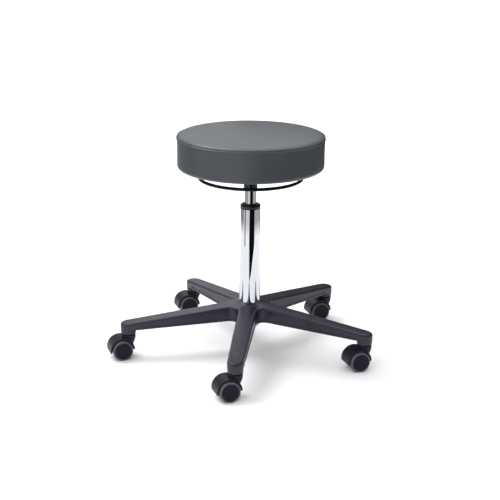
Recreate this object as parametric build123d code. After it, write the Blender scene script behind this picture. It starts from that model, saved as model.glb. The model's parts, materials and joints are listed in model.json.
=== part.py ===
from build123d import *
import os
from math import cos, radians, sin, tan

# Adjustable swivel stool. Millimetres, +Z up, origin on the floor under the column,
# one arm of the star points along -Y.

# Driving dimensions
arm_count = 5
arm_step = 360 / arm_count
first_arm_angle = -90
stem_circle = 306
wheel_radius = 25
castor_trail = 20
castor_heading = 205.3
seat_turn = 5.8
seat_radius = 180
seat_bottom = 470.5
seat_side_top = 549
seat_crown = 558
ring_radius = 125
ring_height = 445
ring_rod = 4
running_gap = 0.05

# Star base
tip_radius = 19.2
arm_taper = 0.83
arm_blend = 22
hub_top = 129
top_at_centre = 127
top_slope = 0.116
bottom_at_centre = 86
bottom_slope = 0.041
edge_round = 5.5
boss_bottom = 63.4
boss_radius = 18.6
recess_depth = 1.4
wall = 4.5
roof = 6
rib = 3
rib_stations = (85, 130, 175, 220, 262)
hub_wall_radius = 40.5
beyond = 400
through = 700

# Column
tube_top = 368
tube_bottom = 64
tube_top_radius = 24
tube_foot_radius = 26.5
tube_seat_radius = 25.2
tube_bore = 21.5
plate_thickness = 4
collar_centre = 373.3
collar_ring = 6.1
collar_radius = 25
cylinder_radius = 14
cylinder_bore = 12.2
cylinder_bottom = 118
cylinder_shoulder = 416
cylinder_top = 447
cylinder_tip_radius = 12.6
chamber_top = 400
rod_radius = 5
rod_bottom = 57
piston_bottom = 330
piston_height = 14
race_radius = 17
ball_radius = 3
ball_count = 9
ball_circle = 12

# Castor
hood_radius = 30.5
hood_bore = 27.2
hood_half_width = 22
hood_tilt = 5.4
hood_drop = 2.8
web_half = 3.7
neck_radius = 17.5
neck_top = 60.6
axle_radius = 3
wheel_inner = 4.5
wheel_face = 29
tread_edge = 27.3
tread_round = 2.5
hub_disc_radius = 20.5
stem_radius = 5.5
pintle_radius = 4.5
pintle_bottom = 46.6
sleeve_radius = 8
sleeve_top = 86

# Seat and its underside
cover_thickness = 1.2
board_radius = 166
board_thickness = 12
hem_inner = 140
side_round = 12
plate_radius = 85
plate_gauge = 3
web_bottom = 438
web_gauge = 4
channel_half = 24
channel_length = 80
channel_gauge = 3
hub_radius = 16.5
hub_bottom = 414
screw_circle = 68
pivot_offset = 22
pivot_height = 456
pivot_radius = 2.5
lever_gauge = 3
lever_gap = 0.3
lever_front = 30
lever_back = 26
valve_top = 454
pin_radius = 3
spoke_radius = 3
spoke_bend = 12
screw_radius = 3
screw_head = 5.5


def save(name, shape):
    export_step(shape, f"parts/{name}.step")


def spun(points):
    """Solid of revolution about Z from (radius, height) points joined by straight lines."""
    return revolve(Plane.XZ * make_face(Polyline(points, close=True)), Axis.Z)


def tube(outer, inner, low, high):
    return spun([(inner, low), (outer, low), (outer, high), (inner, high)])


def rod(radius, low, high):
    return Pos(0, 0, low) * Cylinder(radius, high - low, align=(Align.CENTER, Align.CENTER, Align.MIN))


def arm_angles():
    return [first_arm_angle + arm_step * i for i in range(arm_count)]


def polar(radius, angle):
    return Pos(radius * cos(radians(angle)), radius * sin(radians(angle)), 0)


def top_of_arm(radius):
    return top_at_centre - top_slope * radius


def bottom_of_arm(radius):
    return bottom_at_centre - bottom_slope * radius


def star_outline(inset):
    """Plan of the star, drawn inset from its full size: five tapering arms with round tips."""
    half = tip_radius / cos(radians(arm_taper)) + stem_circle * tan(radians(arm_taper))
    touch = stem_circle + tip_radius * sin(radians(arm_taper))
    tip_half = tip_radius * cos(radians(arm_taper))
    arm = make_face(Polyline((0, -half), (touch, -tip_half), (touch, tip_half), (0, half), close=True))
    arm += Pos(stem_circle, 0) * Circle(tip_radius)
    star = Sketch() + [Rot(0, 0, angle) * arm for angle in arm_angles()]
    inner_corners = [v for v in star.vertices() if (v.X**2 + v.Y**2) ** 0.5 < 2 * half]
    star = fillet(inner_corners, arm_blend)
    return offset(star, -inset) if inset else star


def star_slab(inset):
    return extrude(star_outline(inset), hub_top + roof)


def band(low_gap, high_gap, inner, outer):
    """Ring-shaped zone that follows the arms' slope, between two radii."""
    return spun([
        (inner, bottom_of_arm(inner) + low_gap),
        (outer, bottom_of_arm(outer) + low_gap),
        (outer, top_of_arm(outer) - high_gap),
        (inner, top_of_arm(inner) - high_gap),
    ])


def star_envelope():
    """Body of revolution that gives the star its sloping top, its underside and the raised hub."""
    shoulder = 62
    rise = Spline(
        (tube_foot_radius - 1, hub_top),
        (shoulder, top_of_arm(shoulder)),
        tangents=[(1, -0.75), (1, -top_slope)],
    )
    outline = [
        Line((0, bottom_at_centre), (beyond, bottom_of_arm(beyond))),
        Line((beyond, bottom_of_arm(beyond)), (beyond, top_of_arm(beyond))),
        Line((beyond, top_of_arm(beyond)), (shoulder, top_of_arm(shoulder))),
        rise,
        Line((tube_foot_radius - 1, hub_top), (0, hub_top)),
        Line((0, hub_top), (0, bottom_at_centre)),
    ]
    return revolve(Plane.XZ * make_face(outline), Axis.Z)


def star_ribs():
    """Cross ribs and one long rib under each arm."""
    height = hub_top
    ribs = Part()
    for angle in arm_angles():
        long_rib = Pos(stem_circle / 2, 0, 0) * Box(stem_circle, rib, 2 * height)
        ribs += Rot(0, 0, angle) * long_rib
        for station in rib_stations:
            ribs += Rot(0, 0, angle) * Pos(station, 0, 0) * Box(rib, 3 * tip_radius, 2 * height)
    return ribs


def make_base_star():
    star = star_slab(0) & star_envelope()
    top_edges = [
        edge for edge in star.edges()
        if edge.center().Z > top_of_arm((edge.center().X**2 + edge.center().Y**2) ** 0.5) - 1
        and (edge.center().X**2 + edge.center().Y**2) ** 0.5 > tube_foot_radius + 4
    ]
    star = fillet(top_edges, edge_round)
    groove = (star_slab(-1) - star_slab(recess_depth)) & band(4.5, 11, 25, 282)
    star -= groove
    for angle in arm_angles():
        star += polar(stem_circle, angle) * rod(boss_radius, boss_bottom, bottom_of_arm(stem_circle) + roof)
    pocket = star_slab(wall) & band(-roof, roof, hub_wall_radius, beyond)
    pocket -= star_ribs()
    for angle in arm_angles():
        pocket -= polar(stem_circle, angle) * rod(boss_radius - 2, 0, hub_top)
    star -= pocket
    star -= column_wedge()
    for angle in arm_angles():
        star -= polar(stem_circle, angle) * rod(sleeve_radius, boss_bottom, sleeve_top)
    return star


def column_wedge():
    """Tapered seat of the column in the hub."""
    return spun([
        (0, tube_bottom),
        (tube_seat_radius, tube_bottom),
        (tube_seat_radius, bottom_at_centre - roof),
        (tube_foot_radius, hub_top),
        (0, hub_top),
    ])


def make_stem_sleeves():
    sleeve = tube(sleeve_radius, stem_radius, boss_bottom, sleeve_top)
    return Compound(children=[polar(stem_circle, angle) * sleeve for angle in arm_angles()])


def make_castor_stems():
    """Steel stem: flange under the boss, plain shank above it, pintle for the castor below it."""
    shank_top = sleeve_top - 1
    stem = spun([
        (0, pintle_bottom),
        (pintle_radius, pintle_bottom),
        (pintle_radius, neck_top + 0.1),
        (sleeve_radius + 0.5, neck_top + 0.1),
        (sleeve_radius + 0.5, boss_bottom),
        (stem_radius, boss_bottom),
        (stem_radius, shank_top - 1.5),
        (stem_radius - 1.5, shank_top),
        (0, shank_top),
    ])
    return Compound(children=[polar(stem_circle, angle) * stem for angle in arm_angles()])


def make_outer_tube():
    """Chromed column tube: slim at the top, wider at the hub, closed by a pierced end plate."""
    return spun([
        (7.5, tube_bottom),
        (tube_seat_radius, tube_bottom),
        (tube_seat_radius, bottom_at_centre - roof),
        (tube_foot_radius, hub_top),
        (tube_top_radius, tube_top),
        (tube_bore, tube_top),
        (tube_bore, tube_bottom + plate_thickness),
        (7.5, tube_bottom + plate_thickness),
    ])


def make_tube_collar():
    """Rounded collar on the column's mouth, dished towards the cylinder, with a spigot."""
    centre = collar_radius - collar_ring
    ring = revolve(Plane.XZ * Pos(centre, collar_centre) * Circle(collar_ring), Axis.Z)
    dish = spun([
        (cylinder_radius + 0.4, tube_top - 18),
        (tube_bore, tube_top - 18),
        (tube_bore, tube_top),
        (centre + collar_ring, tube_top),
        (centre, collar_centre + collar_ring / 2),
        (cylinder_radius + 0.4, collar_centre),
    ])
    body = ring + dish
    body -= tube(beyond, tube_bore, 0, tube_top)
    return body - rod(cylinder_radius + 0.4, 0, through)


def make_guide_bush():
    return tube(tube_bore, cylinder_radius + running_gap, tube_top - 80, tube_top - 18)


def race_base():
    return tube_bottom + plate_thickness


def make_lower_race():
    return tube(race_radius, rod_radius + 1, race_base(), race_base() + 2)


def make_bearing_balls():
    middle = race_base() + 2 + ball_radius
    ball = Sphere(ball_radius - 0.03)
    balls = [polar(ball_circle, 360 / ball_count * i) * Pos(0, 0, middle) * ball for i in range(ball_count)]
    return Compound(children=balls)


def upper_race_base():
    return race_base() + 2 + 2 * ball_radius


def make_upper_race():
    return tube(race_radius, rod_radius, upper_race_base(), upper_race_base() + 2)


def make_piston_rod():
    """Rod of the gas spring with the shoulder that stands on the bearing."""
    shoulder = upper_race_base() + 2
    return spun([
        (0, rod_bottom),
        (rod_radius, rod_bottom),
        (rod_radius, shoulder),
        (8, shoulder),
        (8, shoulder + 5),
        (rod_radius, shoulder + 5),
        (rod_radius, piston_bottom),
        (0, piston_bottom),
    ])


def make_piston_head():
    return rod(cylinder_bore - running_gap, piston_bottom, piston_bottom + piston_height)


def make_rod_clip():
    """Open retaining ring under the column's end plate."""
    ring = tube(9, rod_radius, tube_bottom - 2.2, tube_bottom - 0.2)
    return ring - Pos(8, 0, tube_bottom - 1.2) * Box(10, 3, 4)


def make_gas_cylinder():
    """Chromed pressure tube, tapered at the top where the seat's hub is pressed on."""
    body = spun([
        (cylinder_bore, cylinder_bottom),
        (cylinder_radius, cylinder_bottom),
        (cylinder_radius, cylinder_shoulder),
        (cylinder_tip_radius, cylinder_top),
        (0, cylinder_top),
        (0, chamber_top),
        (cylinder_bore, chamber_top),
    ])
    return body - rod(pin_radius + running_gap, chamber_top, through)


def make_cylinder_guide():
    return tube(cylinder_bore, rod_radius + running_gap, cylinder_bottom, cylinder_bottom + 18)


def make_valve_pin():
    return rod(pin_radius, chamber_top + 8, valve_top)


def turned(shape):
    return Rot(0, 0, seat_turn) * shape


def make_seat_hub():
    """Hub pressed on the cylinder, with the channel that carries the release lever."""
    hub = rod(hub_radius, hub_bottom, web_bottom)
    hub += rod(hub_radius + 3, web_bottom - 5, web_bottom)
    hub += Pos(0, 0, web_bottom + web_gauge / 2) * Box(2 * channel_half, channel_length, web_gauge)
    height = plate_low() - web_bottom
    for side in (-1, 1):
        middle = side * (channel_half - channel_gauge / 2)
        hub += Pos(middle, 0, web_bottom + height / 2) * Box(channel_gauge, channel_length, height)
    socket = spun([
        (0, hub_bottom),
        (cylinder_radius, hub_bottom),
        (cylinder_radius, cylinder_shoulder),
        (cylinder_tip_radius, cylinder_top),
        (0, cylinder_top),
    ])
    hub -= socket
    hub -= Pos(0, -pivot_offset, pivot_height) * Rot(0, 90, 0) * Cylinder(pivot_radius, 3 * channel_half)
    return turned(hub)


def make_lever_pivot():
    pin = Rot(0, 90, 0) * Cylinder(pivot_radius, 2 * channel_half + 3)
    return turned(Pos(0, -pivot_offset, pivot_height) * pin)


def make_release_lever():
    """Flat lever over the valve pin, with an eye for the pivot; the ring's spokes meet its ends."""
    half = channel_half - channel_gauge - 1
    length = lever_front + lever_back
    middle = (lever_back - lever_front) / 2
    low = valve_top + lever_gap
    lever = Pos(0, middle, low + lever_gauge / 2) * Box(2 * half, length, lever_gauge)
    eye = Pos(0, -pivot_offset, pivot_height) * Rot(0, 90, 0) * Cylinder(pivot_radius + 2.5, 2 * half)
    lever += eye
    lever -= Pos(0, -pivot_offset, pivot_height) * Rot(0, 90, 0) * Cylinder(pivot_radius + running_gap, 3 * half)
    return turned(lever)


def spoke(angle):
    """Spoke: straight out from the lever's edge, then bent down to the ring."""
    level = valve_top + lever_gap + lever_gauge / 2
    start = (lever_reach(angle), level)
    corner = (ring_radius - spoke_bend, level)
    path = Plane.XZ * FilletPolyline(start, corner, (ring_radius, ring_height), radius=spoke_bend)
    bar = sweep(Plane(origin=path @ 0, z_dir=path % 0) * Circle(spoke_radius), path)
    return Rot(0, 0, angle) * bar


def lever_reach(angle):
    """Distance from the column's axis to the lever's edge, to the front or to the back."""
    return lever_front if angle < 0 else lever_back


def make_release_ring():
    ring = Pos(0, 0, ring_height) * Torus(ring_radius, ring_rod)
    for angle in (-90, 90):
        ring += spoke(angle)
    return turned(ring)


def plate_low():
    return seat_bottom + cover_thickness - plate_gauge


def board_low():
    return plate_low() + plate_gauge


def board_high():
    return board_low() + board_thickness


def screw_places():
    return [polar(screw_circle, 45 + 90 * i) for i in range(4)]


def make_seat_plate():
    plate = rod(plate_radius, plate_low(), board_low())
    for place in screw_places():
        plate -= place * rod(screw_radius + 0.3, 0, through)
    return turned(plate)


def make_plate_screws():
    head = fillet(rod(screw_head, plate_low() - 4, plate_low()).edges().group_by(Axis.Z)[0], 2)
    screw = head + rod(screw_radius, plate_low(), board_high() - 2)
    return Compound(children=[turned(place * screw) for place in screw_places()])


def tee_nut():
    return spun([
        (screw_radius, board_low() + 1),
        (screw_radius + 1.2, board_low() + 1),
        (screw_radius + 1.2, board_high() - 1.2),
        (9, board_high() - 1.2),
        (9, board_high()),
        (screw_radius, board_high()),
    ])


def make_tee_nuts():
    return Compound(children=[turned(place * tee_nut()) for place in screw_places()])


def make_seat_board():
    board = rod(board_radius, board_low(), board_high())
    for place in screw_places():
        board -= turned(place * rod(screw_radius, 0, through))
        board -= turned(place * tee_nut())
    return board


def seat_body(inset):
    """Outer form of the upholstered seat, drawn inset by a skin thickness."""
    low = seat_bottom + inset
    out = seat_radius - inset
    corner = side_round - inset
    side_top = seat_side_top - 9
    shoulder = (out - 11, seat_crown - 6 - inset)
    crown = (0, seat_crown - inset)
    outline = [
        Line((0, low), (out - corner, low)),
        CenterArc((out - corner, low + corner), corner, -90, 90),
        Line((out, low + corner), (out, side_top)),
        Spline((out, side_top), shoulder, tangents=[(0, 1), (-1, 0.14)]),
        Spline(shoulder, crown, tangents=[(-1, 0.14), (-1, 0)]),
        Line(crown, (0, low)),
    ]
    return revolve(Plane.XZ * make_face(outline), Axis.Z)


def make_foam_pad():
    return seat_body(cover_thickness) - rod(board_radius, 0, board_high())


def make_seat_cover():
    return seat_body(0) - seat_body(cover_thickness) - rod(hem_inner, 0, board_low())


def make_dust_cover():
    return tube(board_radius - 10, plate_radius + 2, seat_bottom - 0.8, seat_bottom)


def in_castor(shape):
    """From castor coordinates (stem on Z, wheels trailing to -X) to the shape's own heading."""
    return Rot(0, 0, castor_heading - 180) * shape


def on_axle(points):
    """Solid of revolution about the wheel axle from (radius, distance from the middle) points."""
    return Pos(-castor_trail, 0, wheel_radius) * Rot(-90, 0, 0) * spun(points)


def disc_on_axle(radius, half_width):
    return on_axle([(0, -half_width), (radius, -half_width), (radius, half_width), (0, half_width)])


def half_ring(outer, inner, half_width):
    """Upper half of a ring round the axle, reaching lower on the trailing side."""
    ring = on_axle([(inner, -half_width), (outer, -half_width), (outer, half_width), (inner, half_width)])
    side = 3 * outer
    below = Pos(-castor_trail, 0, wheel_radius - hood_drop) * Rot(0, -hood_tilt, 0) * Pos(0, 0, -side / 2)
    return ring - below * Box(side, side, side)


def make_castor_housing():
    """Hood over both wheels, the web between them and the neck round the stem."""
    neck = spun([
        (0, wheel_radius + 2),
        (9, wheel_radius + 2),
        (13, 38),
        (neck_radius - 1, 47),
        (neck_radius, 52),
        (neck_radius, neck_top - 1.5),
        (neck_radius - 1.5, neck_top),
        (0, neck_top),
    ])
    hood = half_ring(hood_radius, hood_bore, hood_half_width)
    web = half_ring(hood_bore + 1, 0, web_half) + disc_on_axle(9, web_half)
    cavity = disc_on_axle(hood_bore, 2 * wheel_face) - disc_on_axle(hood_bore, web_half)
    housing = hood + (neck - cavity) + web
    housing -= rod(pintle_radius + running_gap, pintle_bottom - 0.2, neck_top)
    housing -= disc_on_axle(axle_radius, wheel_face)
    return housing


def make_axle():
    return disc_on_axle(axle_radius, wheel_face - 3.5)


def make_wheel():
    """Plastic wheel: flat outer disc, hub tube on the axle and the rim under the tread."""
    back = wheel_inner
    disc_inside = wheel_face - 3
    rim = hub_disc_radius - 3
    return on_axle([
        (0, disc_inside),
        (axle_radius + running_gap, disc_inside),
        (axle_radius + running_gap, back),
        (7, back),
        (7, disc_inside - 1),
        (rim, disc_inside - 1),
        (rim, back + 0.5),
        (hub_disc_radius, back + 0.5),
        (hub_disc_radius, wheel_face - 0.8),
        (hub_disc_radius - 0.8, wheel_face),
        (hub_disc_radius - 3, wheel_face),
        (hub_disc_radius - 3.6, wheel_face - 0.5),
        (0, wheel_face - 0.5),
    ])


def make_tread():
    """Soft tyre with a round outer shoulder."""
    inner = hub_disc_radius
    back = wheel_inner + 0.5
    outline = [
        Line((inner, back), (wheel_radius - 1.5, back)),
        Line((wheel_radius - 1.5, back), (wheel_radius, back + 1.5)),
        Line((wheel_radius, back + 1.5), (wheel_radius, tread_edge - tread_round)),
        CenterArc((wheel_radius - tread_round, tread_edge - tread_round), tread_round, 0, 90),
        Line((wheel_radius - tread_round, tread_edge), (inner, tread_edge)),
        Line((inner, tread_edge), (inner, back)),
    ]
    tyre = revolve(Plane.XZ * make_face(outline), Axis.Z)
    return Pos(-castor_trail, 0, wheel_radius) * Rot(-90, 0, 0) * tyre


def other_side(shape):
    return mirror(shape, Plane.XZ)


def save_castors():
    housing = make_castor_housing()
    axle = make_axle()
    wheel = make_wheel()
    tread = make_tread()
    pieces = {
        "housing": housing,
        "axle": axle,
        "wheel_right": wheel,
        "wheel_left": other_side(wheel),
        "tread_right": tread,
        "tread_left": other_side(tread),
    }
    for number, angle in enumerate(arm_angles(), start=1):
        for name, shape in pieces.items():
            save(f"castor_{number}_{name}", polar(stem_circle, angle) * in_castor(shape))


def save_body_pieces():
    save("base_star", make_base_star())
    save("stem_sleeves", make_stem_sleeves())
    save("castor_stems", make_castor_stems())
    save("outer_tube", make_outer_tube())
    save("tube_collar", make_tube_collar())
    save("guide_bush", make_guide_bush())
    save("lower_race", make_lower_race())
    save("bearing_balls", make_bearing_balls())
    save("upper_race", make_upper_race())
    save("piston_rod", make_piston_rod())
    save("piston_head", make_piston_head())
    save("rod_clip", make_rod_clip())
    save("gas_cylinder", make_gas_cylinder())
    save("cylinder_guide", make_cylinder_guide())
    save("valve_pin", make_valve_pin())
    save("seat_hub", make_seat_hub())
    save("lever_pivot", make_lever_pivot())
    save("release_lever", make_release_lever())
    save("release_ring", make_release_ring())
    save("seat_plate", make_seat_plate())
    save("plate_screws", make_plate_screws())
    save("tee_nuts", make_tee_nuts())
    save("seat_board", make_seat_board())
    save("foam_pad", make_foam_pad())
    save("seat_cover", make_seat_cover())
    save("dust_cover", make_dust_cover())


os.makedirs("parts", exist_ok=True)
save_body_pieces()
save_castors()
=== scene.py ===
import json
import math
import bmesh
import bpy
import numpy as np
from mathutils import Matrix, Vector


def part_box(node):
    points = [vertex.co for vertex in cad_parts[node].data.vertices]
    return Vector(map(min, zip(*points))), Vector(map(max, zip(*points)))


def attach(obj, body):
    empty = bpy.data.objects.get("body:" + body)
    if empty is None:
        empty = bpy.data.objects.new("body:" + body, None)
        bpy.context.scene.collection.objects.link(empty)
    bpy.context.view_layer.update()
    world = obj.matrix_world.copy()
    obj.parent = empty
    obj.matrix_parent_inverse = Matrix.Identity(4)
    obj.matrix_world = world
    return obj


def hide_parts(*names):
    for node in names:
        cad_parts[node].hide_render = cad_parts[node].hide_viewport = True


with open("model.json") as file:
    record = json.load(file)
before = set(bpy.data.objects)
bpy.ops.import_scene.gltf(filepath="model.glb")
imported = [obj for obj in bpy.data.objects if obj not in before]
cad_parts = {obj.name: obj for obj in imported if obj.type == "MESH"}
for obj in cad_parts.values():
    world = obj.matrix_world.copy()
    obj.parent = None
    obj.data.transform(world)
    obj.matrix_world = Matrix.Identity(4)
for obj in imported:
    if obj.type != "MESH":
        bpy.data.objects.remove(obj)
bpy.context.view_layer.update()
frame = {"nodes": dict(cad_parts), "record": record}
print("frame loaded")


cameraSettings = {
    "distance": 2.678,  # from the column's axis, along the floor
    "height": 1.0904,
    "azimuth": 5.8,  # degrees round the column from the front arm
    "pitch": 17.24,  # degrees below the horizon
    "roll": 0.52,
    "lens": 81.36,
    "sensor": 36.0,
}


def makeCamera(s):
    data = bpy.data.cameras.new("studioCamera")
    data.lens = s["lens"]
    data.sensor_width = s["sensor"]
    camera = bpy.data.objects.new("studioCamera", data)
    bpy.context.scene.collection.objects.link(camera)
    turn = Matrix.Rotation(math.radians(s["azimuth"]), 4, "Z")
    tilt = Matrix.Rotation(math.radians(90 - s["pitch"]), 4, "X")
    roll = Matrix.Rotation(math.radians(s["roll"]), 4, "Z")
    place = turn @ Matrix.Translation((0, -s["distance"], s["height"]))
    camera.matrix_world = place @ tilt @ roll
    bpy.context.scene.camera = camera


makeCamera(cameraSettings)


def around(angle, radius, height):
    # a place given by its direction from the column, seen from the camera: 0 is behind, 90 to the right
    a = math.radians(90 - angle + cameraSettings["azimuth"])
    return Vector((radius * math.cos(a), radius * math.sin(a), height))


class Wire:
    # one socket in a node tree; arithmetic on it adds Math nodes
    def __init__(self, tree, socket):
        self.tree = tree
        self.socket = socket

    def math(self, operation, *others):
        return self.tree.add("ShaderNodeMath", {"operation": operation}, dict(enumerate((self,) + others)))

    def __add__(self, other):
        return self.math("ADD", other)

    def __mul__(self, other):
        return self.math("MULTIPLY", other)

    def __sub__(self, other):
        return self.math("SUBTRACT", other)

    def __rsub__(self, other):
        return self.tree.add("ShaderNodeMath", {"operation": "SUBTRACT"}, {0: other, 1: self})

    __radd__ = __add__
    __rmul__ = __mul__

    def between(self, low, high):
        # 0 below low, 1 above high, smooth in between
        picks = {"Value": self, "From Min": low, "From Max": high}
        return self.tree.add("ShaderNodeMapRange", {"interpolation_type": "SMOOTHSTEP"}, picks)


class Tree:
    def __init__(self, nodeTree):
        self.nodes = nodeTree.nodes
        self.links = nodeTree.links
        self.nodes.clear()

    def add(self, kind, settings=None, inputs=None, output=0):
        # any node: its settings first, then a value or a link for each socket
        node = self.nodes.new(kind)
        for key, value in (settings or {}).items():
            setattr(node, key, value)
        for key, value in (inputs or {}).items():
            self.feed(node.inputs[key], value)
        return Wire(self, node.outputs[output]) if node.outputs else None

    def feed(self, socket, value):
        if isinstance(value, Wire):
            self.links.new(value.socket, socket)
        elif hasattr(value, "__len__") and len(value) == 3 and socket.type == "RGBA":
            socket.default_value = (*value, 1)
        else:
            socket.default_value = value


class Finish:
    # one procedural material: a Principled shader and the wires that feed it
    def __init__(self, name, constants):
        self.material = bpy.data.materials.new(name)
        self.material.use_nodes = True
        self.tree = Tree(self.material.node_tree)
        shader = self.tree.add("ShaderNodeBsdfPrincipled", inputs=constants)
        self.shader = shader.socket.node
        self.tree.add("ShaderNodeOutputMaterial", inputs={"Surface": shader})
        self.place = self.tree.add("ShaderNodeTexCoord", output=3)

    def feed(self, name, value):
        self.tree.feed(self.shader.inputs[name], value)

    def noise(self, scale, detail=3, roughness=0.5, stretch=None):
        at = self.place
        if stretch:
            at = self.tree.add("ShaderNodeMapping", inputs={"Vector": at, "Scale": stretch})
        picks = {"Vector": at, "Scale": scale, "Detail": detail, "Roughness": roughness}
        return self.tree.add("ShaderNodeTexNoise", inputs=picks)

    def cells(self, scale, feature="F1"):
        picks = {"Vector": self.place, "Scale": scale}
        return self.tree.add("ShaderNodeTexVoronoi", {"feature": feature}, picks)

    def blend(self, share, low, high):
        # colour between low and high
        picks = {0: share, 6: low, 7: high}
        return self.tree.add("ShaderNodeMix", {"data_type": "RGBA"}, picks, output=2)

    def bump(self, height, depth):
        picks = {"Height": height, "Distance": depth, "Strength": 1.0}
        self.feed("Normal", self.tree.add("ShaderNodeBump", inputs=picks))



def link(name, mesh, material):
    # an object at the origin with one finish
    mesh.materials.clear()
    mesh.materials.append(material)
    piece = bpy.data.objects.new(name, mesh)
    bpy.context.scene.collection.objects.link(piece)
    return piece


def gridFaces(rows, columns, wrapRows, wrapColumns):
    # quads between neighbouring rows and columns of a grid of points, counted as whole arrays
    i = np.arange(rows if wrapRows else rows - 1)
    j = np.arange(columns if wrapColumns else columns - 1)
    i, j = np.meshgrid(i, j, indexing="ij")
    here, below = i * columns, (i + 1) % rows * columns
    beside = (j + 1) % columns
    return np.stack([here + j, here + beside, below + beside, below + j], -1).reshape(-1, 4)


def fillMesh(name, points, faces):
    # points and faces of one size go in as flat arrays
    mesh = bpy.data.meshes.new(name)
    sides = faces.shape[1]
    mesh.vertices.add(len(points))
    mesh.vertices.foreach_set("co", np.ascontiguousarray(points, np.float32).ravel())
    mesh.loops.add(faces.size)
    mesh.loops.foreach_set("vertex_index", np.ascontiguousarray(faces, np.int32).ravel())
    mesh.polygons.add(len(faces))
    mesh.polygons.foreach_set("loop_start", np.arange(0, faces.size, sides, dtype=np.int32))
    mesh.polygons.foreach_set("use_smooth", np.ones(len(faces), bool))
    mesh.update(calc_edges=True)
    return mesh


def readPoints(mesh):
    points = np.zeros(len(mesh.vertices) * 3, np.float32)
    mesh.vertices.foreach_get("co", points)
    return points.reshape(-1, 3).astype(float)


def writePoints(mesh, points):
    mesh.vertices.foreach_set("co", np.ascontiguousarray(points, np.float32).ravel())
    mesh.update()


def tidyNormals(mesh):
    # joins doubled points at poles and turns every face outwards
    work = bmesh.new()
    work.from_mesh(mesh)
    bmesh.ops.remove_doubles(work, verts=work.verts, dist=1e-6)
    bmesh.ops.recalc_face_normals(work, faces=work.faces)
    work.to_mesh(mesh)
    work.free()
    return mesh


def applyModifiers(piece):
    # the piece as its modifiers leave it
    depsgraph = bpy.context.evaluated_depsgraph_get()
    made = bpy.data.meshes.new_from_object(piece.evaluated_get(depsgraph))
    piece.modifiers.clear()
    piece.data = made
    return piece


studio = {
    "floorSize": 60.0,
    "floorShade": (0.8, 0.805, 0.82),
    "base": 0.12,
    # each lobe: direction, height above the horizon, full inside, gone outside (degrees), strength
    "lobes": [
        (-15, 42, 15, 45, 1.0), (-95, 30, 20, 60, 0.15),
        (-150, 14, 15, 55, 1.7), (0, 90, 20, 70, 1.35),
    ],
    "sunFrom": (-65, 54),
    "sunStrength": 1.7,
    "sunAngle": 34,
    "footGlow": 1.45,  # how bright the cards are where they meet the floor
    "cardColumns": 25,
}


def makeWorld(s):
    world = bpy.data.worlds.new("studioWorld")
    bpy.context.scene.world = world
    world.use_nodes = True
    tree = Tree(world.node_tree)
    way = tree.add("ShaderNodeTexCoord", output=0)
    total = None
    for angle, up, inner, outer, strength in s["lobes"]:
        towards = around(angle, math.cos(math.radians(up)), math.sin(math.radians(up)))
        near = tree.add("ShaderNodeVectorMath", {"operation": "DOT_PRODUCT"}, {0: way, 1: towards}, output=1)
        lobe = near.between(math.cos(math.radians(outer)), math.cos(math.radians(inner))) * strength
        total = lobe if total is None else total + lobe
    background = tree.add("ShaderNodeBackground", inputs={"Color": (1, 1, 1), "Strength": total + s["base"]})
    tree.add("ShaderNodeOutputWorld", inputs={"Surface": background})


def makeSun(s):
    data = bpy.data.lights.new("studioSun", "SUN")
    data.energy = s["sunStrength"]
    data.angle = math.radians(s["sunAngle"])
    sun = bpy.data.objects.new("studioSun", data)
    bpy.context.scene.collection.objects.link(sun)
    angle, up = s["sunFrom"]
    place = around(angle, math.cos(math.radians(up)), math.sin(math.radians(up)))
    sun.matrix_world = place.to_track_quat("Z", "Y").to_matrix().to_4x4()


def makeFloor(s):
    # one matt pale square, which isn't part of the object
    look = {"Base Color": s["floorShade"], "Roughness": 1.0, "Specular IOR Level": 0.0}
    finish = Finish("studioFloor", look)
    half = s["floorSize"] / 2
    mesh = bpy.data.meshes.new("studioFloor")
    corners = [(-half, -half, 0), (half, -half, 0), (half, half, 0), (-half, half, 0)]
    mesh.from_pydata(corners, [], [(0, 1, 2, 3)])
    link("studioFloor", mesh, finish.material)


def cardMaterial(name, shade, fade):
    # glowing grey for a painted reflection, or with a fade as bright as the floor at its foot and that grey
    # from the fade's height up
    material = bpy.data.materials.new(name)
    material.use_nodes = True
    tree = Tree(material.node_tree)
    colour = (shade, shade, shade, 1)
    if fade:
        place = tree.add("ShaderNodeTexCoord", output=3)
        height = tree.add("ShaderNodeSeparateXYZ", inputs={"Vector": place}, output=2)
        foot = studio["footGlow"]
        picks = {0: height.between(0, fade), 6: (foot, foot, foot, 1), 7: colour}
        colour = tree.add("ShaderNodeMix", {"data_type": "RGBA"}, picks, output=2)
    glow = tree.add("ShaderNodeEmission", inputs={"Color": colour, "Strength": 1.0})
    tree.add("ShaderNodeOutputMaterial", inputs={"Surface": glow})
    return material


def makeCard(name, radius, rows, shade, fade):
    # upright curved glowing card round the column that only reflections see, a painted reflection; rows are
    # (height, left, right) in metres and degrees from the camera's side, to the right
    points = []
    for height, left, right in rows:
        angles = np.linspace(180 - left, 180 - right, studio["cardColumns"])
        points += [around(angle, radius, height) for angle in angles]
    quads = gridFaces(len(rows), studio["cardColumns"], False, False)
    card = link(name, fillMesh(name, np.array(points), quads), cardMaterial(name, shade, fade))
    card.visible_camera = card.visible_diffuse = card.visible_shadow = False
    card.visible_transmission = card.visible_volume_scatter = False
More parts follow.
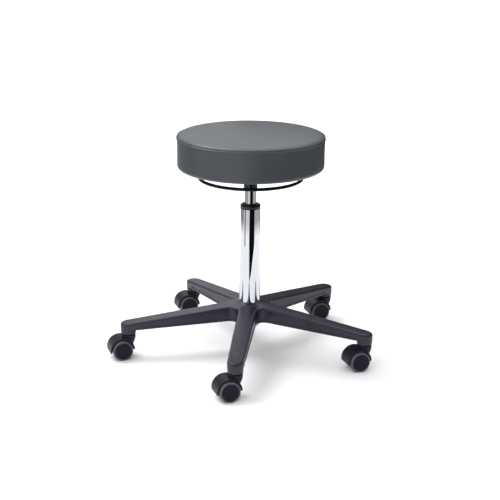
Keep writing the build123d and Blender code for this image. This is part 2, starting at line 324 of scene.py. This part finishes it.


# each card, a glowing painted reflection: radius, rows, shade, height over which it fades in
wedgeRows = [(0.05, -6.5, -5), (0.073, -7.5, 12), (0.118, -8, 30), (0.162, -10, 48), (0.34, -6, 53)]
reflected = {
    "darkWedge": (0.45, wedgeRows, 0.006, 0),
    "darkLine": (0.46, [(0.15, -65, -55), (0.34, -66, -54)], 0.015, 0),
    "lowLeftReflection": (1.06, [(0.0, -150, -81), (0.22, -150, -81)], 0.36, 0.07),
    "lowFrontReflection": (1.06, [(0.0, -81, 53), (0.22, -81, 53)], 0.9, 0.07),
    "lowRightReflection": (1.06, [(0.0, 53, 140), (0.22, 53, 140)], 0.56, 0.07),
    "highLeftReflection": (1.06, [(0.22, -150, -85), (1.4, -150, -85)], 0.35, 0),
    "highFrontReflection": (1.06, [(0.22, -85, 0), (1.4, -85, 0)], 0.9, 0),
    "highRightReflection": (1.06, [(0.22, 0, 140), (1.4, 0, 140)], 0.06, 0),
    "backReflection": (1.06, [(0.0, 130, 182), (0.8, 130, 182)], 0.1, 0),
}
bpy.context.scene.view_settings.view_transform = "Standard"
makeWorld(studio)
makeSun(studio)
makeFloor(studio)
for cardName, card in reflected.items():
    makeCard(cardName, *card)
print("studio made")


def mouldedPlastic(name, s):
    # spark-textured nylon: fine grain, faint flow marks and slightly polished patches
    finish = Finish(name, {"IOR": 1.5, "Specular IOR Level": s["specular"]})
    grain = finish.noise(s["grainScale"], 2, 0.6)
    flow = finish.noise(14, 3)
    polish = finish.noise(35, 2).between(0.45, 0.8)
    finish.feed("Base Color", finish.blend(flow.between(0.3, 0.75), s["dark"], s["light"]))
    finish.feed("Roughness", s["roughness"] + (grain - 0.5) * 0.12 - polish * s["polish"])
    finish.bump(grain, s["grainDepth"])
    return finish.material


def plate(name, s):
    # bright metal with faint smudges and hairlines
    finish = Finish(name, {"Metallic": 1.0})
    smudge = finish.noise(22, 4, 0.6).between(0.5, 0.75)
    hair = finish.noise(900, 2, 0.5, s["stretch"])
    finish.feed("Base Color", finish.blend(smudge, s["colour"], s["dull"]))
    finish.feed("Roughness", s["roughness"] + smudge * s["smudge"] + (hair - 0.5) * s["hair"])
    finish.bump(hair, s["depth"])
    return finish.material


def powderCoat(name, s):
    # black paint with an orange-peel surface
    finish = Finish(name, {"IOR": 1.5, "Specular IOR Level": s["specular"]})
    peel = finish.noise(s["peelScale"], 2, 0.4)
    dust = finish.noise(40, 3).between(0.55, 0.8)
    finish.feed("Base Color", finish.blend(dust, s["dark"], s["light"]))
    finish.feed("Roughness", s["roughness"] + dust * 0.1)
    finish.bump(peel, s["peelDepth"])
    return finish.material


def grainedLeather(name, s):
    # coated upholstery: pebbled cells with fine creases between them, and a broad soft mottling
    finish = Finish(name, {
        "IOR": 1.48, "Specular IOR Level": s["specular"],
        "Sheen Weight": s["sheen"], "Sheen Roughness": 0.45, "Sheen Tint": (0.88, 0.97, 1.0)})
    cell = finish.cells(s["cellScale"], "SMOOTH_F1")
    fine = finish.noise(s["cellScale"] * 2.6, 3, 0.6)
    broad = finish.noise(9, 3).between(0.3, 0.7)
    hide = cell * 0.7 + fine * 0.3
    tone = broad * 0.75 + fine * 0.25
    finish.feed("Base Color", finish.blend(tone, s["dark"], s["light"]))
    finish.feed("Roughness", s["roughness"] + (0.5 - fine) * 0.1 + broad * 0.04)
    finish.bump(hide, s["depth"])
    return finish.material


def softTread(name, s):
    # cast polyurethane: matt, slightly mottled, with a scuffed running face
    finish = Finish(name, {"IOR": 1.5, "Specular IOR Level": 0.35})
    scuff = finish.noise(160, 4, 0.65).between(0.45, 0.75)
    finish.feed("Base Color", finish.blend(scuff, s["dark"], s["light"]))
    finish.feed("Roughness", s["roughness"] + scuff * 0.12)
    finish.bump(finish.noise(1400, 2), 0.00003)
    return finish.material


def twistedThread(name, s):
    # plies wound round the thread
    finish = Finish(name, {"Specular IOR Level": 0.3})
    twist = finish.noise(1400, 2, 0.5, (1, 1, 0.4))
    finish.feed("Base Color", finish.blend(twist, s["dark"], s["light"]))
    finish.feed("Roughness", 0.55 + twist * 0.2)
    finish.bump(twist, s["depth"])
    return finish.material


def openFoam(name, s):
    # cut foam with open pores, their pits painted darker as painted shade
    finish = Finish(name, {"Specular IOR Level": 0.1})
    pore = finish.cells(700)
    # painted shade: the colour darkens towards each pore's pit, where the bump sinks
    finish.feed("Base Color", finish.blend(pore.between(0.1, 0.6), s["dark"], s["light"]))
    finish.feed("Roughness", 0.85 + pore * 0.1)
    finish.bump(pore, 0.0004)
    return finish.material


def nonWoven(name, s):
    # pressed fibre sheet with its grid of weld points
    finish = Finish(name, {"Specular IOR Level": 0.2})
    fibre = finish.noise(900, 4, 0.7, (1, 0.25, 1))
    fluff = finish.noise(300, 3, 0.6)
    finish.feed("Base Color", finish.blend(fibre, s["dark"], s["light"]))
    finish.feed("Roughness", 0.8 + fluff * 0.15)
    finish.bump(fibre * 0.6 + fluff * 0.4, 0.0003)
    return finish.material


def birchPly(name, s):
    # face grain above and below, dark and light plies round the edge
    finish = Finish(name, {"Specular IOR Level": 0.3})
    ring = finish.noise(60, 4, 0.6, (0.12, 1.6, 1))
    ply = finish.noise(1, 0, 0.5, (2, 2, 700)).between(0.4, 0.6)
    tone = ring * 0.7 + ply * 0.3
    finish.feed("Base Color", finish.blend(tone, s["dark"], s["light"]))
    finish.feed("Roughness", 0.6 + ring * 0.15)
    finish.bump(ring, 0.0001)
    return finish.material


finishes = {
    "base_plastic": mouldedPlastic("baseNylon", {
        "dark": (0.0095, 0.01, 0.021), "light": (0.0145, 0.015, 0.029), "roughness": 0.34,
        "grainScale": 1500, "grainDepth": 0.00005, "polish": 0.08, "specular": 0.4}),
    "hood_plastic": mouldedPlastic("hoodNylon", {
        "dark": (0.007, 0.007, 0.014), "light": (0.011, 0.011, 0.019), "roughness": 0.42,
        "grainScale": 1700, "grainDepth": 0.00004, "polish": 0.08, "specular": 0.17}),
    "wheel_plastic": mouldedPlastic("wheelNylon", {
        "dark": (0.006, 0.006, 0.013), "light": (0.009, 0.009, 0.018), "roughness": 0.45,
        "grainScale": 1900, "grainDepth": 0.00004, "polish": 0.06, "specular": 0.12}),
    "collar_plastic": mouldedPlastic("collarNylon", {
        "dark": (0.006, 0.006, 0.007), "light": (0.009, 0.009, 0.01), "roughness": 0.28,
        "grainScale": 2200, "grainDepth": 0.00001, "polish": 0.05, "specular": 0.5}),
    "bush_plastic": mouldedPlastic("bushAcetal", {
        "dark": (0.42, 0.42, 0.4), "light": (0.5, 0.5, 0.47), "roughness": 0.4,
        "grainScale": 2200, "grainDepth": 0.00001, "polish": 0.05, "specular": 0.5}),
    "chrome": plate("polishedChrome", {
        "colour": (0.6, 0.61, 0.64), "dull": (0.56, 0.57, 0.6), "roughness": 0.03,
        "smudge": 0.05, "hair": 0.02, "depth": 0.000001, "stretch": (1, 1, 0.02)}),
    "steel": plate("zincSteel", {
        "colour": (0.55, 0.56, 0.58), "dull": (0.42, 0.42, 0.43), "roughness": 0.3,
        "smudge": 0.15, "hair": 0.12, "depth": 0.00001, "stretch": (1, 1, 0.05)}),
    "black_steel": powderCoat("blackPowder", {
        "dark": (0.008, 0.008, 0.009), "light": (0.014, 0.014, 0.015), "roughness": 0.42,
        "peelScale": 900, "peelDepth": 0.00006, "specular": 0.4}),
    "ring_paint": powderCoat("blackEnamel", {
        "dark": (0.004, 0.004, 0.005), "light": (0.007, 0.007, 0.008), "roughness": 0.22,
        "peelScale": 500, "peelDepth": 0.00002, "specular": 0.14}),
    "tread_rubber": softTread("treadGrey", {
        "dark": (0.06, 0.06, 0.07), "light": (0.085, 0.085, 0.096), "roughness": 0.5}),
    "upholstery": grainedLeather("seatHide", {
        "dark": (0.025, 0.031, 0.04), "light": (0.031, 0.038, 0.048), "roughness": 0.36,
        "cellScale": 850, "depth": 0.00012, "specular": 0.62, "sheen": 0.03}),
    "foam": openFoam("seatFoam", {"dark": (0.45, 0.42, 0.33), "light": (0.7, 0.67, 0.56)}),
    "backing": nonWoven("dustCloth", {"dark": (0.008, 0.008, 0.009), "light": (0.02, 0.02, 0.021)}),
    "plywood": birchPly("birchBoard", {"dark": (0.38, 0.25, 0.13), "light": (0.62, 0.46, 0.28)}),
}
print("finishes made")

nodeSlots = {part["node"]: part["material_slot"] for part in frame["record"]["subparts"]}
for nodeName, nodeObject in frame["nodes"].items():
    material = finishes[nodeSlots[nodeName]]
    nodeObject.data.materials.clear()
    nodeObject.data.materials.append(material)
print("CAD nodes finished")


coverLow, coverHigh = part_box("seat_cover")
cushion = {
    "bottom": coverLow.z - 0.0015,
    "crown": coverHigh.z + 0.0015,
    "seamDrop": 0.0138,  # the welt's middle below the crown
    "seamRadius": 0.1792,
    "bandWaist": 0.0007,  # how far the side band draws in between its seams
    "bandSet": 0.0008,  # how far the band starts below the seam and ends inside it
    "rollTop": 0.025,  # the roll's width and rise above the seam
    "rollRise": 0.009,
    "rollBottom": 0.009,
    "hemRadius": 0.141,
    "hemLift": 0.0013,
    "hemThickness": 0.001,
    "columns": 384,
    "beforeSeam": 0.026,  # where the rows start to close up before the seam
    "rowSteps": [(0.021, 0.0012), (0.0105, 0.00024), (0.05, 0.0014), (None, 0.0011)],
    "crownStep": 0.0042,
    "voxel": 0.005,
    "blankColumns": 96,
    "pressure": 4.0,
    "frames": 20,
    "cap": 0.006,
    "stiffness": 40,
    "bending": 3,
    "swell": 0.0025,
    "swellShare": 0.25,
    "heldAtSeam": 0.003,  # the cloth is held this near the seam and this far above the hem
    "heldAtHem": 0.012,
    "calmRows": 8,  # rows round the crown's centre that rise together
    "evenPasses": 60,
    "weltWidth": 0.0042,
    "weltRise": 0.0004,
    "creaseDepth": 0.0011,
    "creaseWidth": 0.0009,
    "gatherReach": 0.009,
    "gatherDepth": 0.00016,
    "hemStart": 0.085,
    "pleatDepth": 0.0003,
    "pleats": 44,
    "joinAt": 78,  # degrees from the X axis to the closing seam
    "joinWidth": 0.0026,
    "joinDepth": 0.0011,
}


def arcPoints(centre, radii, startAngle, endAngle, count):
    # elliptical arc in the (radius, height) plane, ends included
    a = np.radians(np.linspace(startAngle, endAngle, count))
    return np.stack([centre[0] + radii[0] * np.cos(a), centre[1] + radii[1] * np.sin(a)], -1)


def linePoints(start, end, count):
    # start (1 - t) + end t
    t = np.linspace(0, 1, count)[:, None]
    return np.array(start) * (1 - t) + np.array(end) * t


def seatProfile(s, inset=0.0, fine=True):
    # (radius, height) from the crown's centre over the roll, past the welt, down the band and in along
    # the hem; the crown falls with the square of the radius and the band draws in by a half sine
    counts = (40, 26, 60, 18, 12) if fine else (12, 7, 18, 5, 4)
    crownCount, rollCount, bandCount, footCount, hemCount = counts
    out = s["seamRadius"] - inset
    bandTop = s["crown"] - s["seamDrop"] - s["bandSet"]
    rollCentre = (out - s["rollTop"], bandTop)
    shoulder = bandTop + s["rollRise"]
    t = np.linspace(0, 1, crownCount)[:, None]
    crownLine = np.hstack([t * rollCentre[0], s["crown"] - inset - (s["crown"] - shoulder) * t**2])
    roll = arcPoints(rollCentre, (s["rollTop"], s["rollRise"]), 88, 0, rollCount)
    low = s["bottom"] + inset
    corner = s["rollBottom"]
    bandLow = low + corner
    t = np.linspace(0, 1, bandCount)[:, None] ** 1.6
    height = bandTop + (bandLow - bandTop) * t
    waist = s["bandWaist"] * np.sin(np.pi * t**0.8) + s["bandSet"] * t
    band = np.hstack([out - waist, height])
    foot = arcPoints((band[-1, 0] - corner, bandLow), (corner, corner), 0, -90, footCount)
    hem = linePoints((foot[-1, 0], low), (s["hemRadius"], low + s["hemLift"]), hemCount)
    return np.vstack([crownLine[:-1], roll[:-1], band[:-1], foot[:-1], hem])


def spin(line, columns):
    # turns a (radius, height) line about the column's axis: x = r cos a, y = r sin a, z = h
    a = np.linspace(0, 2 * np.pi, columns, endpoint=False)
    r, z = line[:, :1], line[:, 1:]
    return np.stack([r * np.cos(a), r * np.sin(a), z + 0 * a], -1)


def spread(line, steps):
    # picks points along a line: steps are (length covered, spacing) from its start, the last one to its end
    run = np.concatenate([[0], np.cumsum(np.linalg.norm(np.diff(line, axis=0), axis=1))])
    marks, start = [], 0.0
    for length, spacing in steps:
        end = run[-1] if length is None else start + length
        marks.append(np.linspace(start, end, max(2, round((end - start) / spacing) + 1))[:-1])
        start = end
    marks = np.append(np.concatenate(marks), run[-1])
    return np.stack([np.interp(marks, run, line[:, k]) for k in (0, 1)], -1), marks


def outward(grid):
    # unit normals of a grid of points, from its differences along rows and round columns
    down = np.gradient(grid, axis=0)
    across = np.roll(grid, -1, axis=1) - np.roll(grid, 1, axis=1)
    normal = np.cross(across, down)
    length = np.linalg.norm(normal, axis=-1, keepdims=True)
    normal = normal / np.maximum(length, 1e-12)
    normal[length[..., 0] < 1e-9] = (0, 0, 1)
    return normal


def evenOut(field, passes):
    # averages a grid of numbers with its neighbours, closed round the columns
    for _ in range(passes):
        field = (np.roll(field, 1, 1) + np.roll(field, -1, 1) + 2 * field) / 4
        inner = (field[:-2] + field[2:] + 2 * field[1:-1]) / 4
        field = np.vstack([field[:1], inner, field[-1:]])
    return field


def swell(mesh, s, held):
    # remeshes a closed shape, blows it up as cloth while the held points stay, and limits the travel
    piece = link("swelling", mesh, finishes["foam"])
    remesh = piece.modifiers.new("remesh", "REMESH")
    remesh.mode = "VOXEL"
    remesh.voxel_size = s["voxel"]
    applyModifiers(piece)
    rest = readPoints(piece.data)
    group = piece.vertex_groups.new(name="held")
    group.add(np.flatnonzero(held(rest)).tolist(), 1.0, "REPLACE")
    cloth = piece.modifiers.new("cloth", "CLOTH")
    settings = cloth.settings
    settings.vertex_group_mass = "held"
    settings.use_pressure = True
    settings.uniform_pressure_force = s["pressure"]
    settings.effector_weights.gravity = 0
    settings.quality = 6
    settings.tension_stiffness = s["stiffness"]
    settings.compression_stiffness = s["stiffness"]
    settings.bending_stiffness = s["bending"]
    cloth.point_cache.frame_start = 1
    cloth.point_cache.frame_end = s["frames"]
    for number in range(1, s["frames"] + 1):
        bpy.context.scene.frame_set(number)
    applyModifiers(piece)
    moved = readPoints(piece.data) - rest
    length = np.linalg.norm(moved, axis=1, keepdims=True)
    moved *= np.minimum(1, s["cap"] / np.maximum(length, 1e-9))
    writePoints(piece.data, rest + moved)
    bpy.context.scene.frame_set(1)
    smooth = piece.modifiers.new("smooth", "SUBSURF")
    smooth.levels = smooth.render_levels = 1
    applyModifiers(piece)
    return piece


def cushionGrid(s):
    # the sewn cover: a fine grid from the crown to the hem, with rows close together at the seam
    line = seatProfile(s)
    run = np.concatenate([[0], np.cumsum(np.linalg.norm(np.diff(line, axis=0), axis=1))])
    seam = s["crown"] - s["seamDrop"]
    outside = line[:, 0] > s["seamRadius"] - 0.004
    seamRun = np.interp(-seam, -line[outside][:, 1], run[outside])
    steps = [(seamRun - s["beforeSeam"], s["crownStep"])] + s["rowSteps"]
    line, marks = spread(line, steps)
    return spin(line, s["columns"]), marks - seamRun


def swollenGrid(s, start, fromSeam):
    # the grid moved along its normals by a share of how far the blown-up body stands off it
    rows, columns = start.shape[:2]
    seam = s["crown"] - s["seamDrop"]
    closed = seatProfile(s, inset=s["swell"], fine=False)
    closed = np.vstack([closed, [0, closed[-1, 1]]])
    blank = spin(closed, s["blankColumns"]).reshape(-1, 3)
    blankMesh = fillMesh("blank", blank, gridFaces(len(closed), s["blankColumns"], False, True))

    def held(points):
        outside = np.hypot(points[:, 0], points[:, 1]) > s["hemRadius"]
        nearSeam = abs(points[:, 2] - seam) < s["heldAtSeam"]
        return nearSeam & outside | (points[:, 2] < s["bottom"] + s["heldAtHem"])

    body = swell(tidyNormals(blankMesh), s, held)
    wrapMesh = fillMesh("wrap", start.reshape(-1, 3), gridFaces(rows, columns, False, True))
    wrap = link("wrap", wrapMesh, finishes["foam"])
    shrink = wrap.modifiers.new("shrink", "SHRINKWRAP")
    shrink.target = body
    shrink.wrap_method = "NEAREST_SURFACEPOINT"
    applyModifiers(wrap)
    found = readPoints(wrap.data).reshape(rows, columns, 3)
    for old in (wrap, body):
        bpy.data.objects.remove(old)
    normals = outward(start)
    lift = np.sum((found - start) * normals, axis=-1)
    print("swell from", round(lift.min() * 1000, 2), "to", round(lift.max() * 1000, 2), "mm")
    calm = s["calmRows"]
    lift[:calm] = lift[calm:calm + 4].mean()
    lift = evenOut(lift, s["evenPasses"])
    lift[:4] = lift[4].mean()
    lift -= np.interp(0, fromSeam, lift.mean(axis=1))
    return start + s["swellShare"] * lift[..., None] * normals


def makeCushion(s):
    # the swollen grid, moved along its normals by the creases, welt, puckers, pleats and closing seam
    grid, fromSeam = cushionGrid(s)
    rows, columns = grid.shape[:2]
    grid = swollenGrid(s, grid, fromSeam)
    d = fromSeam[:, None]
    turn = np.linspace(0, 2 * np.pi, columns, endpoint=False)[None, :]
    side = s["weltWidth"] / 2
    crease = np.exp(-((d - side) / s["creaseWidth"]) ** 2) + np.exp(-((d + side) / s["creaseWidth"]) ** 2)
    welt = np.exp(-(d / (s["weltWidth"] * 0.42)) ** 4)
    # the thread gathers the cover slightly, so small puckers fan out from the seam and fade
    waves = np.sin(turn * 70 + 2 * np.sin(turn * 3)) * 0.6 + np.sin(turn * 113 + 1.3 * np.sin(turn * 5)) * 0.4
    gather = waves * np.exp(-abs(d) / s["gatherReach"]) * (1 - welt * 0.6)
    pull = -s["creaseDepth"] * crease + s["weltRise"] * welt + s["gatherDepth"] * gather
    # the hem is drawn tight over the board in shallow pleats
    under = np.clip((d - s["hemStart"]) / 0.02, 0, 1)
    pull = pull + s["pleatDepth"] * under * np.sin(turn * s["pleats"] + 1.5 * np.sin(turn * 7))
    # the band's ends are sewn together behind, in one upright crease
    joinRun = (turn - np.radians(s["joinAt"])) * s["seamRadius"]
    band = np.clip((d - s["weltWidth"]) / 0.002, 0, 1) * np.clip((s["hemStart"] - d) / 0.004, 0, 1)
    pull = pull - s["joinDepth"] * band * np.exp(-((joinRun / s["joinWidth"]) ** 2))
    grid = grid + pull[..., None] * outward(grid)
    # the underside stays clear of what it rests on, and the hem turns up into the board at its end
    edge = grid[-1] + np.array([0, 0, s["hemThickness"]])
    grid = np.concatenate([grid, edge[None]], axis=0)
    mesh = fillMesh("seatCushion", grid.reshape(-1, 3), gridFaces(rows + 1, columns, False, True))
    return link("seatCushion", tidyNormals(mesh), finishes["upholstery"]), grid[:-1], fromSeam


cushionPiece, cushionRows, cushionRun = makeCushion(cushion)
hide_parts("seat_cover", "foam_pad")
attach(cushionPiece, "seat")
print("cushion made")

threads = {
    "rows": (-0.0034, 0.0034),  # distance of each row from the welt's middle
    "pitch": 0.0042,
    "length": 0.003,
    "thick": 0.0003,
    "bow": 0.00018,
    "endShare": 0.04,
    "rings": 5,
    "sides": 5,
    "finish": {"dark": (0.02, 0.022, 0.025), "light": (0.045, 0.05, 0.055), "depth": 0.00008},
}


def surfaceLine(grid, fromSeam, distance, angles):
    # points and outward normals of the cover at one distance from the welt, at the given angles
    columns = grid.shape[1]
    row = np.interp(distance, fromSeam, np.arange(len(fromSeam)))
    low = int(row)
    share = row - low
    turns = np.arange(columns + 1) * 2 * np.pi / columns
    found = []
    for field in (grid, outward(grid)):
        line = field[low] * (1 - share) + field[low + 1] * share
        line = np.vstack([line, line[:1]])
        found.append(np.stack([np.interp(angles % (2 * np.pi), turns, line[:, k]) for k in range(3)], -1))
    return found


def rowOfBars(s, grid, fromSeam, distance, count):
    # short rounded bars in a ring: a path along the surface, as thick as the root of a sine along its length
    starts = np.arange(count) * 2 * np.pi / count
    t = np.linspace(0, 1, s["rings"])
    radius = np.median(np.hypot(grid[:, :, 0], grid[:, :, 1])[np.argmin(abs(fromSeam - distance))])
    angles = (starts[:, None] + t[None, :] * s["length"] / radius).ravel()
    at, normal = surfaceLine(grid, fromSeam, distance, angles)
    along = np.stack([-np.sin(angles), np.cos(angles), 0 * angles], -1)
    side = np.cross(normal, along)
    arch = np.sin(np.pi * t)
    lift = np.tile(s["bow"] * arch, count)[:, None]
    girth = np.tile(s["thick"] * np.sqrt(np.maximum(arch, s["endShare"])), count)[:, None, None]
    a = np.linspace(0, 2 * np.pi, s["sides"], endpoint=False)[None, :, None]
    points = (at + normal * lift)[:, None] + girth * (normal[:, None] * np.cos(a) + side[:, None] * np.sin(a))
    faces = gridFaces(s["rings"], s["sides"], False, True)
    faces = faces[None] + (np.arange(count) * s["rings"] * s["sides"])[:, None, None]
    return points.reshape(-1, 3), faces.reshape(-1, 4)


def closeEnds(mesh):
    work = bmesh.new()
    work.from_mesh(mesh)
    bmesh.ops.holes_fill(work, edges=[e for e in work.edges if e.is_boundary], sides=8)
    bmesh.ops.recalc_face_normals(work, faces=work.faces)
    work.to_mesh(mesh)
    work.free()
    return mesh


def joinBars(name, parts, material):
    # several rings of bars in one mesh, with their ends closed
    points, faces, count = [], [], 0
    for somePoints, someFaces in parts:
        points.append(somePoints)
        faces.append(someFaces + count)
        count += len(somePoints)
    mesh = fillMesh(name, np.vstack(points), np.vstack(faces))
    return link(name, closeEnds(mesh), material)


threadCount = round(2 * np.pi * cushion["seamRadius"] / threads["pitch"])
threadRows = [rowOfBars(threads, cushionRows, cushionRun, d, threadCount) for d in threads["rows"]]
threadPiece = joinBars("seamStitches", threadRows, twistedThread("seamThread", threads["finish"]))
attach(threadPiece, "seat")
print("stitches made")

dustCover = {
    "innerRadius": 0.0872,
    "outerRadius": 0.1558,
    "top": 0.47035,  # its upper face where it meets the seat plate
    "fall": 0.0009,  # how much lower its edge lies, under the cover's hem
    "thick": 0.0005,
    "rows": 40,
    "columns": 360,
    "sag": 0.00018,
    "scallop": 0.0006,  # how far the edge draws in between two staples
    "staples": 40,
}
staple = {
    "radius": 0.1515,
    "length": 0.0105,
    "thick": 0.00045,
    "bow": -0.0001,
    "endShare": 0.04,
    "rings": 6,
    "sides": 6,
}


def clothGrid(s):
    # flat ring: z = top - fall t^2, plus a little sag between the staples that grows to the edge
    t = np.linspace(0, 1, s["rows"])[:, None]
    turn = np.linspace(0, 2 * np.pi, s["columns"], endpoint=False)[None, :]
    radius = s["innerRadius"] + (s["outerRadius"] - s["innerRadius"]) * t
    between = 0.5 - 0.5 * np.cos(turn * s["staples"])
    waves = s["sag"] * 0.7 * np.sin(turn * 9 + 2 * np.sin(turn * 4)) * np.sin(np.pi * t)
    z = s["top"] - s["fall"] * t**2 - s["sag"] * between * t**3 - abs(waves)
    edge = radius - s["scallop"] * between * t**8
    return np.stack([edge * np.cos(turn), edge * np.sin(turn), z], -1)


def makeCloth(s):
    # the ring's lower face out and its upper face back, in one closed loop
    upper = clothGrid(s)
    lower = upper - np.array([0, 0, s["thick"]])
    loop = np.concatenate([lower, upper[::-1]], axis=0)
    mesh = fillMesh("dustCloth", loop.reshape(-1, 3), gridFaces(2 * s["rows"], s["columns"], True, True))
    return link("dustCloth", tidyNormals(mesh), finishes["backing"]), lower


clothPiece, clothLower = makeCloth(dustCover)
clothFrom = np.linspace(dustCover["innerRadius"], dustCover["outerRadius"], dustCover["rows"])
stapleRow = rowOfBars(staple, clothLower, clothFrom, staple["radius"], dustCover["staples"])
staplePiece = joinBars("clothStaples", [stapleRow], finishes["steel"])
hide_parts("dust_cover")
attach(clothPiece, "seat")
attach(staplePiece, "seat")
print("dust cloth made")
